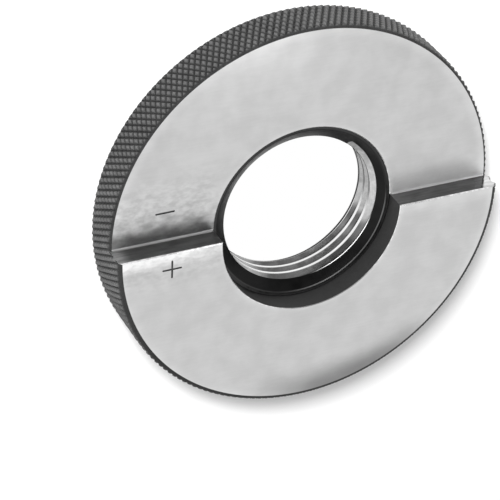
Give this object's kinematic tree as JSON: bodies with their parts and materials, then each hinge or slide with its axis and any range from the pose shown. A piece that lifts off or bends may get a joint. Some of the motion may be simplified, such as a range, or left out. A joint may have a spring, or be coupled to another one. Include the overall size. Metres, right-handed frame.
{
  "type": "thread ring gauge",
  "caption": "Knurled steel ring gauge with an internal taper thread, a relief bore and a stepped gauging face whose two halves are marked plus and minus.",
  "frame": {"origin": "centre of the back face, on the axis of the thread", "axes": "+Z along the axis towards the stepped gauging face, +X along the step, +Y towards the recessed half"},
  "size_m": [0.076, 0.076, 0.013],
  "materials": {
    "gauge_steel": "ground and lapped gauging faces, dark hardened knurl and step wall"
  },
  "bodies": {
    "root": {"gauge_ring": "gauge_steel"}
  },
  "joints": []
}
